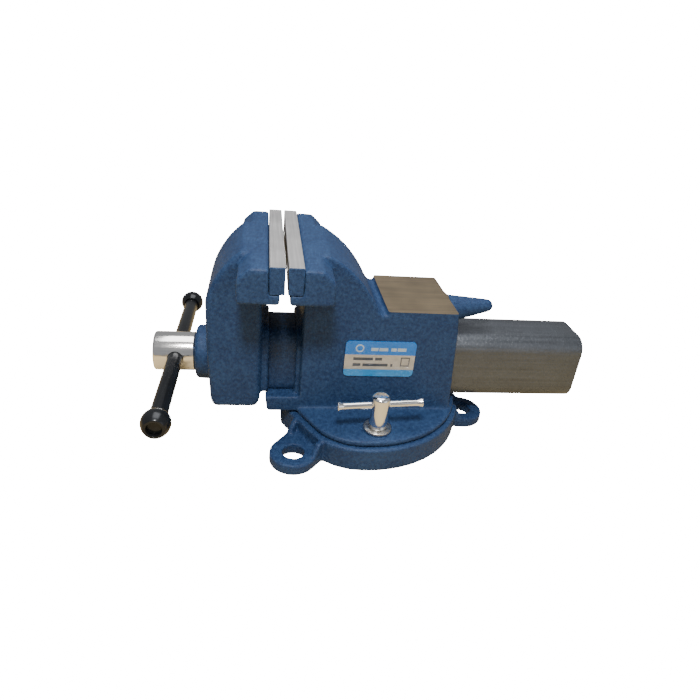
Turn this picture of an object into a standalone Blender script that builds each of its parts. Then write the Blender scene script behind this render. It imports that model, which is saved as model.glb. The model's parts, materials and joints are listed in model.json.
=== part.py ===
"""A 150 mm bench vise with a square-tube slide, a swivel base and a small anvil.

Frame: metres, +Z up. X runs along the lead screw, from the handle (-X) to the bare end of the
slide tube (+X). Y runs along the jaws. The origin is on the swivel axis, on the bench plane.
"""

from math import asin, atan2, cos, degrees, pi, radians, sin, sqrt

import bmesh
import bpy
from mathutils import Matrix, Vector

MM = 0.001
GAP = 0.3 * MM  # left between pieces that touch
SLIDE_GAP = 0.5 * MM  # left round pieces that slide

# Jaws
JAW_WIDTH = 150 * MM
JAW_TOP = 167.2 * MM
PLATE_HEIGHT = 21 * MM
PLATE_THICKNESS = 11.4 * MM
FIXED_FACE_X = -72.9 * MM  # gripping face of the fixed plate
JAW_OPENING = 2.2 * MM  # between the plates at rest
HEAD_TOP = 165.5 * MM  # the casting stays a little under the plates
HEAD_BOTTOM = 137.8 * MM
MOVABLE_LEDGE = 3.4 * MM  # how far the ledge under a plate stays behind its face
FIXED_LEDGE = 1.7 * MM
HEAD_DEPTH = 23 * MM  # from the back of a plate to the back of the jaw head
HEAD_CHAMFER = (10.5 * MM, 9.5 * MM)  # along X and down

# Jaw plate screws
SCREW_Y = 45 * MM
SCREW_SHANK = 4 * MM
SCREW_HEAD = 6.5 * MM
SCREW_HEAD_DEPTH = 8 * MM
SCREW_LENGTH = 26 * MM
SCREW_SOCKET = 3.4 * MM

# Castings
BODY_HALF = 41 * MM
BODY_FRONT_X = -57.7 * MM
BODY_REAR_TOP_X = 69.5 * MM
BODY_REAR_FOOT_X = 77.9 * MM
COLLAR_HALF = 35 * MM  # the narrower collar round the tube on both castings
COLLAR_TOP = 95 * MM
COLLAR_BOTTOM = 38.3 * MM  # it passes over the tongue
COLLAR_CORNER = 17 * MM
FIXED_COLLAR_X = -62 * MM
PAD_TOP = 120.6 * MM
PAD_FRONT_X = 10.6 * MM
VALLEY = 117.2 * MM
FIXED_HAUNCH = (-85.4 * MM, 79.9 * MM, 96.6 * MM)  # centre x, centre z, radius
MOVABLE_HAUNCH = (-59 * MM, 103.8 * MM, 78.4 * MM)
MOVABLE_REAR_X = -91 * MM
MOVABLE_COLLAR_X = -84.4 * MM
MOVABLE_BOTTOM = 26.4 * MM
HORN_ROOT = (64 * MM, 106.6 * MM, 13.9 * MM)  # x, z, radius
HORN_TIP = (108.9 * MM, 111.7 * MM, 6 * MM)
TONGUE_X = -86.8 * MM
TONGUE_BOTTOM = 22.8 * MM
TONGUE_TOP = 37.5 * MM

# Slide tube
TUBE_HALF = 27.5 * MM
TUBE_BOTTOM = 29.2 * MM
TUBE_TOP = 91 * MM
TUBE_CORNER = 14 * MM
TUBE_WALL = 5 * MM
TUBE_FRONT_X = -119.5 * MM
TUBE_REAR_X = 198.6 * MM
TUBE_SLOT_X = -27 * MM  # the slot for the nut starts here and is open at the rear
TUBE_SLOT_HALF = 10 * MM

# Lead screw and what is on it
SCREW_Z = 58 * MM
SPINDLE_END_X = -181.8 * MM
BOSS_X = -146.4 * MM
BOSS_RADIUS = 23.5 * MM
SPINDLE_RADIUS = 17 * MM
NECK_RADIUS = 11 * MM
THREAD_RADIUS = 12 * MM
THREAD_START_X = -84 * MM
THREAD_END_X = 180 * MM
COLLAR_X = (-97.5 * MM, -89.5 * MM)
COLLAR_RADIUS = 17 * MM
PIN_RADIUS = 2 * MM
WASHER_THICKNESS = 3 * MM
SPRING_RADIUS = 14.5 * MM
SPRING_WIRE = 1.3 * MM
SPRING_TURNS = 4

# Nut
NUT_HALF_LENGTH = 22 * MM
NUT_RADIUS = 18 * MM
NUT_FOOT_HALF = 9 * MM
NUT_BOLT_X = 12 * MM
NUT_BOLT_RADIUS = 4 * MM
NUT_BOLT_TOP = 40 * MM

# Handle
HANDLE_X = -163 * MM
HANDLE_TILT = radians(2)
HANDLE_RADIUS = 6.5 * MM
KNOB_CENTRE = 113 * MM
KNOB_LENGTH = 17 * MM
KNOB_RADIUS = 10.8 * MM
KNOB_END_HOLE = 5.6 * MM
KNOB_LIP = 3 * MM

# Swivel
BASE_RADIUS = 94 * MM
BASE_TOP = 21.5 * MM
BASE_FRONT_X = -72 * MM  # the base is cut back on the handle's side
FLANGE_RADIUS = 90 * MM
PLAN_CORNER = 45 * MM  # the flange's two front corners
PLAN_CUT = 72.1 * MM  # distance of their straight edges from the axis
PLAN_CUT_ANGLE = radians(150)
PLAN_STEP = 4 * MM  # how far the base stands out from the flange
FLANGE_BOTTOM = 21.9 * MM
FLANGE_TOP = 27 * MM
SPIGOT_RADIUS = 25 * MM
SPIGOT_BOTTOM = 11.9 * MM
BASE_FLOOR = 5 * MM
SLOT_RADIUS = 71.6 * MM
SLOT_HALF = 6.6 * MM
TEE_HALF = 11.1 * MM
TEE_TOP = 14.5 * MM
LUG_ANGLES = (-128.5, -7.5, 112)
LUG_CENTRE = 101 * MM
LUG_RADIUS = 19.8 * MM
LUG_TOP = 10 * MM
LUG_HOLE = 9.1 * MM
LUG_POCKET = 15.8 * MM
LUG_FILLET = 9 * MM
SWIVEL_RANGE = 28  # degrees each way, set by the length of the slots
SLOT_ENTRY = 17  # degrees of full-width slot beyond the range, where a nut goes in

# Swivel locks
LOCK_X = 6.6 * MM
LOCK_HEAD_RADIUS = 7.8 * MM
LOCK_SHANK_RADIUS = 6 * MM
LOCK_TOP = 60 * MM
LOCK_WASHER_RADIUS = 12 * MM
LOCK_WASHER_THICKNESS = 2.4 * MM
LOCK_BAR_Z = 51.3 * MM
LOCK_BAR_RADIUS = 3 * MM
LOCK_BAR_HALF = 36.3 * MM
LOCK_BAR_FLARE = 4.3 * MM
LOCK_BAR_ANGLE = radians(5.6)
TEE_NUT_HALF = 10 * MM

# Label
LABEL_CENTRE = (8.1 * MM, 77.3 * MM)
LABEL_SIZE = (60 * MM, 33.4 * MM)
LABEL_CORNER = 3.5 * MM
LABEL_THICKNESS = 0.6 * MM

PAINT = ((0.045, 0.105, 0.24), 0.45, 0.0)
BRIGHT_STEEL = ((0.62, 0.60, 0.57), 0.3, 1.0)
DARK_STEEL = ((0.22, 0.22, 0.22), 0.45, 1.0)
CHROME = ((0.85, 0.84, 0.82), 0.1, 1.0)
BLACKENED = ((0.03, 0.03, 0.032), 0.35, 0.6)
BRONZE = ((0.5, 0.34, 0.14), 0.35, 1.0)
ZINC = ((0.7, 0.7, 0.68), 0.35, 1.0)
LABEL_BLUE = ((0.1, 0.35, 0.75), 0.35, 0.0)


# ---------------------------------------------------------------- tools


def clear_scene():
    for thing in list(bpy.data.objects):
        bpy.data.objects.remove(thing, do_unlink=True)


def material(name, finish):
    colour, roughness, metallic = finish
    made = bpy.data.materials.new(name)
    made.use_nodes = True
    shader = made.node_tree.nodes["Principled BSDF"]
    shader.inputs["Base Color"].default_value = (*colour, 1)
    shader.inputs["Roughness"].default_value = roughness
    shader.inputs["Metallic"].default_value = metallic
    return made


def from_bmesh(name, bm):
    """An object made of a bmesh, with its faces turned outwards."""
    bmesh.ops.recalc_face_normals(bm, faces=bm.faces)
    mesh = bpy.data.meshes.new(name)
    bm.to_mesh(mesh)
    bm.free()
    made = bpy.data.objects.new(name, mesh)
    bpy.context.collection.objects.link(made)
    return made


def bake(piece):
    """Replace a piece's mesh by what its modifiers make of it."""
    bpy.context.view_layer.update()
    graph = bpy.context.evaluated_depsgraph_get()
    mesh = bpy.data.meshes.new_from_object(piece.evaluated_get(graph))
    piece.modifiers.clear()
    piece.data = mesh
    return piece


def bevel(piece, width, segments=2, angle=35):
    """Round the edges that are sharper than an angle."""
    modifier = piece.modifiers.new("Bevel", "BEVEL")
    modifier.width = width
    modifier.segments = segments
    modifier.limit_method = "ANGLE"
    modifier.angle_limit = radians(angle)
    return bake(piece)


def combine(piece, others, operation):
    """Join other pieces to a piece, or cut them out of it, and remove them."""
    for other in others:
        modifier = piece.modifiers.new("Boolean", "BOOLEAN")
        modifier.operation = operation
        modifier.solver = "EXACT"
        modifier.object = other
        bake(piece)
        bpy.data.objects.remove(other, do_unlink=True)
    return piece


def join(piece, *others):
    return combine(piece, others, "UNION")


def cut(piece, *others):
    return combine(piece, others, "DIFFERENCE")


def finish(piece, name, look, smooth_angle=30):
    """Merge what the cuts left, name the piece, and give it its material and shading."""
    bm = bmesh.new()
    bm.from_mesh(piece.data)
    bmesh.ops.remove_doubles(bm, verts=bm.verts, dist=0.01 * MM)
    bmesh.ops.dissolve_limit(bm, angle_limit=radians(0.4), verts=bm.verts, edges=bm.edges)
    bmesh.ops.triangulate(bm, faces=bm.faces)
    bm.to_mesh(piece.data)
    bm.free()
    piece.name = name
    piece.data.name = name
    piece.data.materials.clear()
    piece.data.materials.append(look)
    piece.data.shade_smooth()
    piece.data.set_sharp_from_angle(angle=radians(smooth_angle))
    return piece


def set_origin(piece, point):
    """Move a piece's origin to a point of its joint's axis, leaving its mesh where it is."""
    place = Vector(point)
    piece.data.transform(Matrix.Translation(-place) @ piece.matrix_world)
    piece.matrix_world = Matrix.Translation(place)
    return piece


def transform(piece, matrix):
    piece.data.transform(matrix)
    return piece


def prism(outline, axis, low, high):
    """An outline of two coordinates carried along the third axis."""
    placed = {
        "X": lambda a, b, along: (along, a, b),
        "Y": lambda a, b, along: (a, along, b),
        "Z": lambda a, b, along: (a, b, along),
    }[axis]
    bm = bmesh.new()
    ends = [[bm.verts.new(placed(a, b, along)) for a, b in outline] for along in (low, high)]
    for ring in ends:
        bm.faces.new(ring)
    count = len(outline)
    for i in range(count):
        j = (i + 1) % count
        bm.faces.new((ends[0][i], ends[0][j], ends[1][j], ends[1][i]))
    return from_bmesh("prism", bm)


def block(x, y, z):
    """A box from pairs of limits."""
    return prism([(x[0], y[0]), (x[1], y[0]), (x[1], y[1]), (x[0], y[1])], "Z", *z)


def arc(centre_a, centre_b, radius, start, stop, steps):
    """Points of an arc, its angles in degrees, both ends included."""
    turns = [radians(start + (stop - start) * i / steps) for i in range(steps + 1)]
    return [(centre_a + radius * cos(t), centre_b + radius * sin(t)) for t in turns]


def rounded_rectangle(a, b, radius, steps=4):
    """A rectangle between pairs of limits, with round corners."""
    centres = ((a[1], b[1], 0), (a[0], b[1], 90), (a[0], b[0], 180), (a[1], b[0], 270))
    points = []
    for corner_a, corner_b, start in centres:
        inward_a = corner_a - radius if corner_a == a[1] else corner_a + radius
        inward_b = corner_b - radius if corner_b == b[1] else corner_b + radius
        points += arc(inward_a, inward_b, radius, start, start + 90, steps)
    return points


def turned(profile, sides=32):
    """A profile of (radius, height) points turned round Z; its ends may be on the axis."""
    bm = bmesh.new()
    rings = []
    for radius, height in profile:
        if radius == 0:
            rings.append([bm.verts.new((0, 0, height))])
            continue
        angles = [2 * pi * i / sides for i in range(sides)]
        rings.append([bm.verts.new((radius * cos(t), radius * sin(t), height)) for t in angles])
    closed = profile[0][0] != 0
    pairs = list(zip(rings, rings[1:] + (rings[:1] if closed else [])))
    for lower, upper in pairs if closed else pairs[: len(rings) - 1]:
        for i in range(sides):
            j = (i + 1) % sides
            corners = [lower[i % len(lower)], lower[j % len(lower)]]
            corners += [upper[j % len(upper)], upper[i % len(upper)]]
            unique = list(dict.fromkeys(corners))
            if len(unique) > 2:
                bm.faces.new(unique)
    return from_bmesh("turned", bm)


def rod(radius, low, high, sides=32):
    """A plain round bar along Z."""
    return turned([(0, low), (radius, low), (radius, high), (0, high)], sides)


def along_x(piece, z=0.0):
    """Turn a piece made along Z so that it runs along +X, at a height."""
    return transform(piece, Matrix.Translation((0, 0, z)) @ Matrix.Rotation(pi / 2, 4, "Y"))


def at(piece, x, y, z=0.0):
    return transform(piece, Matrix.Translation((x, y, z)))


def ring(inner, outer, low, high, sides=32):
    return turned([(inner, low), (outer, low), (outer, high), (inner, high)], sides)


# ---------------------------------------------------------------- derived places

FIXED_SEAT_X = FIXED_FACE_X + PLATE_THICKNESS + GAP
MOVABLE_FACE_X = FIXED_FACE_X - JAW_OPENING
MOVABLE_SEAT_X = MOVABLE_FACE_X - PLATE_THICKNESS - GAP
PLATE_BOTTOM = JAW_TOP - PLATE_HEIGHT
HALF_JAW = JAW_WIDTH / 2
HANDLE_AXIS = Vector((0, cos(HANDLE_TILT), -sin(HANDLE_TILT)))
LOCK_Y = sqrt(SLOT_RADIUS**2 - LOCK_X**2)


def tube_outline(grow, steps=4):
    """The tube's outside, grown by a distance: (y, z) points."""
    side = TUBE_HALF + grow
    heights = (TUBE_BOTTOM - grow, TUBE_TOP + grow)
    return rounded_rectangle((-side, side), heights, TUBE_CORNER + grow, steps)


def seat_cutters(seat_x, direction):
    """The seat a jaw plate lies in, and the blind holes for its screws."""
    limits = sorted((seat_x, seat_x - direction * 30 * MM))
    seat = block(limits, (-JAW_WIDTH, JAW_WIDTH), (PLATE_BOTTOM - GAP, JAW_TOP + 10 * MM))
    holes = [seat]
    for y in (-SCREW_Y, SCREW_Y):
        end = seat_x + direction * 18 * MM
        low, high = sorted((seat_x - direction * 2 * MM, end))
        hole = along_x(rod(SCREW_SHANK + GAP, low, high, 16))
        holes.append(at(hole, 0, y, PLATE_BOTTOM + PLATE_HEIGHT / 2))
    return holes


# ---------------------------------------------------------------- castings


def head_outline(seat_x, direction):
    """Section (x, z) of a jaw head; direction points from the plate into the head."""
    back = seat_x + direction * HEAD_DEPTH
    setback = FIXED_LEDGE if direction > 0 else MOVABLE_LEDGE
    ledge = seat_x - direction * (PLATE_THICKNESS + GAP - setback)
    along, down = HEAD_CHAMFER
    return [
        (ledge, HEAD_BOTTOM),
        (ledge, HEAD_TOP),
        (back - direction * along, HEAD_TOP),
        (back - direction * along * 0.8, HEAD_TOP - down * 0.1),
        (back - direction * along * 0.12, HEAD_TOP - down * 0.8),
        (back, HEAD_TOP - down),
        (back, HEAD_BOTTOM),
    ]


def throat_curve(ledge_x, wall_x):
    """Points (x, z) from a jaw's ledge down its underside to the casting's wall."""
    drop = 14 * MM
    shares = ((0, 0), (0.55, 0.28), (0.86, 0.6), (1, 1))
    return [
        (ledge_x + (wall_x - ledge_x) * across, HEAD_BOTTOM - drop * down)
        for across, down in shares
    ]


def collar_block(low_x, high_x):
    """The narrower collar that carries the tube's passage beyond a casting's full width."""
    inward, springing = COLLAR_HALF - COLLAR_CORNER, COLLAR_TOP - COLLAR_CORNER
    outline = arc(inward, springing, COLLAR_CORNER, 0, 90, 5)
    outline += arc(-inward, springing, COLLAR_CORNER, 90, 180, 5)
    outline += [(-COLLAR_HALF, COLLAR_BOTTOM), (COLLAR_HALF, COLLAR_BOTTOM)]
    return bevel(prism(outline, "X", low_x, high_x), 1.5 * MM, 2, 50)


def movable_outline():
    """Section (x, z) of the movable jaw at its full body width."""
    centre_x, centre_z, radius = MOVABLE_HAUNCH
    end = 180 - degrees(asin((HEAD_TOP - centre_z) / radius))
    haunch = arc(centre_x, centre_z, radius, 165.4, end, 10)
    wall_x = haunch[0][0]
    front = [(-130.4 * MM, MOVABLE_BOTTOM), (-132.4 * MM, 34 * MM), (-134.2 * MM, 70 * MM)]
    front.append((wall_x, 104 * MM))
    rear = [(MOVABLE_FACE_X - MOVABLE_LEDGE, HEAD_TOP)]
    rear += throat_curve(MOVABLE_FACE_X - MOVABLE_LEDGE, MOVABLE_REAR_X)
    rear += [(MOVABLE_REAR_X, 34 * MM), (-93.5 * MM, MOVABLE_BOTTOM)]
    return front + haunch + rear


def make_movable_jaw(look):
    body = prism(movable_outline(), "Y", -BODY_HALF, BODY_HALF)
    bevel(body, 4 * MM, 3, 50)
    head = prism(head_outline(MOVABLE_SEAT_X, -1), "Y", -HALF_JAW, HALF_JAW)
    bevel(head, 1.6 * MM, 2, 25)
    boss = turned(
        [
            (0, BOSS_X),
            (BOSS_RADIUS - 2 * MM, BOSS_X),
            (BOSS_RADIUS, BOSS_X + 2 * MM),
            (BOSS_RADIUS + 1 * MM, -128 * MM),
            (0, -128 * MM),
        ],
        36,
    )
    collar = collar_block(MOVABLE_REAR_X - 10 * MM, MOVABLE_COLLAR_X)
    join(body, head, collar, along_x(boss, SCREW_Z))
    socket = prism(tube_outline(GAP), "X", TUBE_FRONT_X - GAP, MOVABLE_COLLAR_X + 20 * MM)
    bore = along_x(rod(NECK_RADIUS + SLIDE_GAP, -160 * MM, -100 * MM), SCREW_Z)
    cut(body, socket, bore, *seat_cutters(MOVABLE_SEAT_X, -1))
    return finish(body, "movable_jaw", look)


def fixed_outline():
    """Section (x, z) of the fixed body at its full width."""
    centre_x, centre_z, radius = FIXED_HAUNCH
    start = degrees(asin((HEAD_TOP - centre_z) / radius))
    haunch = arc(centre_x, centre_z, radius, start, 26.5, 9)
    ledge = FIXED_FACE_X + FIXED_LEDGE
    front = [(BODY_FRONT_X, FLANGE_BOTTOM + 2 * MM)]
    front += throat_curve(ledge, BODY_FRONT_X)[::-1] + [(ledge, HEAD_TOP)]
    valley = [(4 * MM, 118.8 * MM), (7 * MM, VALLEY), (PAD_FRONT_X, VALLEY)]
    pad = [(PAD_FRONT_X, PAD_TOP), (BODY_REAR_TOP_X, PAD_TOP)]
    rear = [(72.4 * MM, 104 * MM), (74.6 * MM, 71 * MM)]
    rear += [(BODY_REAR_FOOT_X, FLANGE_TOP), (BODY_REAR_FOOT_X, FLANGE_BOTTOM + 2 * MM)]
    return front + haunch + valley + pad + rear


def make_horn():
    """A blunt round horn: a cone that leans up a little and ends in half a ball."""
    root_x, root_z, root_radius = HORN_ROOT
    tip_x, tip_z, tip_radius = HORN_TIP
    length = sqrt((tip_x - root_x) ** 2 + (tip_z - root_z) ** 2)
    ball = arc(0, length, tip_radius, 8, 90, 4)
    profile = [(0, 0), (root_radius, 0), (root_radius * 0.93, 8 * MM)] + ball[:-1]
    horn = turned(profile + [(0, length + tip_radius)], 24)
    lean = atan2(tip_z - root_z, tip_x - root_x)
    turn = Matrix.Rotation(-lean, 4, "Y") @ Matrix.Rotation(pi / 2, 4, "Y")
    return transform(horn, Matrix.Translation((root_x, 0, root_z)) @ turn)


def swivel_plan(grow, front_x, steps=8):
    """Plan (x, y) of the flange, grown by a distance and cut off at a front edge.

    A circle, two round corners that touch it from inside, and straight edges that leave them.
    """
    radius, corner, cut_off = FLANGE_RADIUS + grow, PLAN_CORNER + grow, PLAN_CUT + grow
    outward = cut_off - corner
    across = sqrt((radius - corner) ** 2 - outward**2)
    normal = Vector((cos(PLAN_CUT_ANGLE), sin(PLAN_CUT_ANGLE)))
    side = Vector((normal.y, -normal.x))
    centre = normal * outward + side * across
    meets = degrees(atan2(centre.y, centre.x))
    upper = arc(0, 0, radius, 0, meets, 4 * steps)
    upper += arc(centre.x, centre.y, corner, meets, degrees(PLAN_CUT_ANGLE), steps)[1:]
    upper.append((front_x, (cut_off - normal.x * front_x) / normal.y))
    return upper + [(x, -y) for x, y in reversed(upper[1:])]


def make_fixed_body(look):
    body = prism(fixed_outline(), "Y", -BODY_HALF, BODY_HALF)
    bevel(body, 1.5 * MM, 2, 50)
    head = prism(head_outline(FIXED_SEAT_X, 1), "Y", -HALF_JAW, HALF_JAW)
    bevel(head, 1.6 * MM, 2, 25)
    flange = prism(swivel_plan(0.0, BODY_FRONT_X - 0.2 * MM), "Z", FLANGE_BOTTOM, FLANGE_TOP)
    bevel(flange, 1.1 * MM, 2, 60)
    lip = [
        (-40 * MM, TONGUE_BOTTOM),
        (TONGUE_X + 1.8 * MM, TONGUE_BOTTOM),
        (TONGUE_X, TONGUE_TOP),
        (-40 * MM, TONGUE_TOP),
    ]
    tongue = bevel(prism(lip, "Y", -BODY_HALF, BODY_HALF), 1.5 * MM)
    collar = collar_block(FIXED_COLLAR_X, FIXED_COLLAR_X + 10 * MM)
    spigot = rod(SPIGOT_RADIUS, SPIGOT_BOTTOM, FLANGE_TOP - 2 * MM)
    join(body, head, flange, tongue, collar, spigot, make_horn())
    passage = prism(tube_outline(SLIDE_GAP), "X", -120 * MM, 120 * MM)
    cutters = [passage, *seat_cutters(FIXED_SEAT_X, 1)]
    for side in (-1, 1):
        hole = rod(LOCK_SHANK_RADIUS + SLIDE_GAP, 15 * MM, 40 * MM, 20)
        cutters.append(at(hole, LOCK_X, side * LOCK_Y))
        shank = rod(NUT_BOLT_RADIUS + GAP, 0, 40 * MM, 16)
        head_room = rod(NUT_BOLT_RADIUS * 2, 0, 20 * MM, 16)
        cutters.append(at(shank, side * NUT_BOLT_X, 0))
        cutters.append(at(head_room, side * NUT_BOLT_X, 0))
    cut(body, *cutters)
    return finish(body, "fixed_body", look)


def lug_outline():
    """Plan (x, y) of one lug along +X: a round end and straight sides, one with a fillet."""
    end = arc(LUG_CENTRE, 0, LUG_RADIUS, -90, 90, 14)
    root = BASE_RADIUS - 24 * MM
    foot = BASE_RADIUS - 3 * MM
    fillet = arc(foot, LUG_RADIUS + LUG_FILLET, LUG_FILLET, -90, -170, 5)
    return end + fillet + [(root, LUG_RADIUS + LUG_FILLET), (root, -LUG_RADIUS)]


def lug_rib(y, start):
    """The sloping end wall beside a lug's recess, along +X; start is the drum's edge there."""
    rib = [
        (start - 6 * MM, LUG_TOP - 2 * MM),
        (start - 6 * MM, BASE_TOP - 1.2 * MM),
        (start, BASE_TOP - 1.8 * MM),
        (start + 8 * MM, LUG_TOP - 0.5 * MM),
        (start + 8 * MM, LUG_TOP - 2 * MM),
    ]
    return bevel(prism(rib, "Y", y - 2.6 * MM, y + 2.6 * MM), 0.8 * MM, 1, 50)


def sector(inner, outer, start, stop, low, high):
    """Part of a ring about Z, its angles in degrees."""
    outline = arc(0, 0, inner, start, stop, 16) + arc(0, 0, outer, stop, start, 16)
    return prism(outline, "Z", low, high)


def slot_cutters(side):
    """One arc of tee-slot in the base, with a full-width entry beyond the swivel's range."""
    middle = side * degrees(atan2(LOCK_Y, LOCK_X))
    inner, outer = SLOT_RADIUS - TEE_HALF, SLOT_RADIUS + TEE_HALF
    tee_end, shank_end = SWIVEL_RANGE + 10, SWIVEL_RANGE + 6
    far_end = middle + side * tee_end
    near_end = middle - side * (tee_end + SLOT_ENTRY)
    entry = middle - side * tee_end
    shank = sorted((middle + side * shank_end, entry - side))
    narrow = (SLOT_RADIUS - SLOT_HALF, SLOT_RADIUS + SLOT_HALF)
    above = BASE_TOP + 10 * MM
    return [
        sector(inner, outer, *sorted((near_end, far_end)), BASE_FLOOR, TEE_TOP),
        sector(*narrow, *shank, TEE_TOP - 1 * MM, above),
        sector(inner, outer, *sorted((near_end, entry)), TEE_TOP - 1 * MM, above),
    ]


def make_swivel_base(look):
    drum = prism(swivel_plan(PLAN_STEP, BASE_FRONT_X), "Z", 0.0, BASE_TOP)
    bevel(drum, 1 * MM, 1, 60)
    pockets = []
    for angle in LUG_ANGLES:
        turn = Matrix.Rotation(radians(angle), 4, "Z")
        lug = bevel(prism(lug_outline(), "Z", 0.0, LUG_TOP), 0.8 * MM, 1, 50)
        rib_y = LUG_RADIUS - 2.7 * MM
        cut_back = 14 * MM if angle == LUG_ANGLES[0] else 0.0
        ribs = [lug_rib(rib_y, BASE_RADIUS - 2 * MM), lug_rib(-rib_y, BASE_RADIUS - 2 * MM - cut_back)]
        join(drum, transform(lug, turn), *[transform(rib, turn) for rib in ribs])
        hole = at(rod(LUG_HOLE, -10 * MM, 30 * MM, 28), LUG_CENTRE, 0)
        pocket = at(rod(LUG_POCKET, LUG_TOP + 0.4 * MM, 40 * MM, 28), LUG_CENTRE, 0)
        pockets += [transform(hole, turn), transform(pocket, turn)]
    seat = rod(SPIGOT_RADIUS + GAP, SPIGOT_BOTTOM - 2 * MM, 40 * MM)
    cut(drum, seat, *pockets, *slot_cutters(-1), *slot_cutters(1))
    return finish(drum, "swivel_base", look)


# ---------------------------------------------------------------- jaw plates and screws


def make_jaw_plate(name, face_x, direction, look):
    """A plate whose gripping face is at face_x; direction points back into the jaw."""
    limits = sorted((face_x, face_x + direction * PLATE_THICKNESS))
    plate = block(limits, (-HALF_JAW, HALF_JAW), (PLATE_BOTTOM, JAW_TOP))
    bevel(plate, 0.6 * MM, 1)
    middle = PLATE_BOTTOM + PLATE_HEIGHT / 2
    cutters = []
    for y in (-SCREW_Y, SCREW_Y):
        through = along_x(rod(SCREW_SHANK + GAP, limits[0] - 5 * MM, limits[1] + 5 * MM, 16))
        sink = sorted((face_x - direction * 5 * MM, face_x + direction * (SCREW_HEAD_DEPTH + 1 * MM)))
        recess = along_x(rod(SCREW_HEAD + GAP, *sink, 20))
        cutters += [at(through, 0, y, middle), at(recess, 0, y, middle)]
    cut(plate, *cutters)
    return finish(plate, name, look)


def make_jaw_screw(name, face_x, direction, y, look):
    """A socket-head screw, its head sunk behind the gripping face."""
    top = 0.7 * MM
    head = SCREW_HEAD_DEPTH
    screw = turned(
        [
            (0, top),
            (SCREW_HEAD - 0.5 * MM, top),
            (SCREW_HEAD, top + 0.5 * MM),
            (SCREW_HEAD, top + head),
            (SCREW_SHANK, top + head),
            (SCREW_SHANK, SCREW_LENGTH - 1 * MM),
            (SCREW_SHANK - 1 * MM, SCREW_LENGTH),
            (0, SCREW_LENGTH),
        ],
        20,
    )
    cut(screw, rod(SCREW_SOCKET, -2 * MM, top + head * 0.55, 6))
    along_x(screw)
    if direction < 0:
        transform(screw, Matrix.Rotation(pi, 4, "Z"))
    at(screw, face_x, y, PLATE_BOTTOM + PLATE_HEIGHT / 2)
    return finish(screw, name, look)


# ---------------------------------------------------------------- slide, screw and nut


def make_slide_tube(look):
    """A rolled steel tube, open at both ends, with a slot in its floor for the nut."""
    tube = prism(tube_outline(0, 6), "X", TUBE_FRONT_X, TUBE_REAR_X)
    inside = (TUBE_HALF - TUBE_WALL, TUBE_BOTTOM + TUBE_WALL, TUBE_TOP - TUBE_WALL)
    hollow_outline = rounded_rectangle(
        (-inside[0], inside[0]), inside[1:], TUBE_CORNER - TUBE_WALL, 4
    )
    hollow = prism(hollow_outline, "X", TUBE_FRONT_X - 10 * MM, TUBE_REAR_X + 10 * MM)
    slot = block(
        (TUBE_SLOT_X, TUBE_REAR_X + 10 * MM),
        (-TUBE_SLOT_HALF, TUBE_SLOT_HALF),
        (TUBE_BOTTOM - 5 * MM, TUBE_BOTTOM + 9 * MM),
    )
    cut(tube, hollow, slot)
    return finish(tube, "slide_tube", look)


def make_lead_screw(look):
    shoulder = BOSS_X - GAP
    screw = along_x(
        turned(
            [
                (0, SPINDLE_END_X),
                (SPINDLE_RADIUS - 2.2 * MM, SPINDLE_END_X),
                (SPINDLE_RADIUS, SPINDLE_END_X + 2.2 * MM),
                (SPINDLE_RADIUS, shoulder),
                (NECK_RADIUS, shoulder),
                (NECK_RADIUS, THREAD_START_X),
                (THREAD_RADIUS, THREAD_START_X + 2 * MM),
                (THREAD_RADIUS, THREAD_END_X - 3 * MM),
                (THREAD_RADIUS - 3 * MM, THREAD_END_X),
                (0, THREAD_END_X),
            ],
            40,
        ),
        SCREW_Z,
    )
    handle_hole = handle_piece(rod(HANDLE_RADIUS + 0.4 * MM, -30 * MM, 30 * MM, 28))
    pin_hole = rod(PIN_RADIUS + GAP, -30 * MM, 30 * MM, 12)
    cut(screw, handle_hole, at(pin_hole, sum(COLLAR_X) / 2, 0, SCREW_Z))
    return set_origin(finish(screw, "lead_screw", look), (HANDLE_X, 0, SCREW_Z))


def make_collar(look):
    collar = along_x(ring(NECK_RADIUS + GAP, COLLAR_RADIUS, *COLLAR_X), SCREW_Z)
    cut(collar, at(rod(PIN_RADIUS + GAP, -30 * MM, 30 * MM, 12), sum(COLLAR_X) / 2, 0, SCREW_Z))
    return set_origin(finish(collar, "retaining_collar", look), (HANDLE_X, 0, SCREW_Z))


def make_collar_pin(look):
    length = COLLAR_RADIUS - 1 * MM
    pin = at(rod(PIN_RADIUS, -length, length, 12), sum(COLLAR_X) / 2, 0, SCREW_Z)
    return set_origin(finish(pin, "collar_pin", look), (HANDLE_X, 0, SCREW_Z))


def make_thrust_washer(look):
    start = TUBE_FRONT_X + GAP
    washer = ring(NECK_RADIUS + GAP, COLLAR_RADIUS, start, start + WASHER_THICKNESS)
    return finish(along_x(washer, SCREW_Z), "thrust_washer", look)


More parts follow.
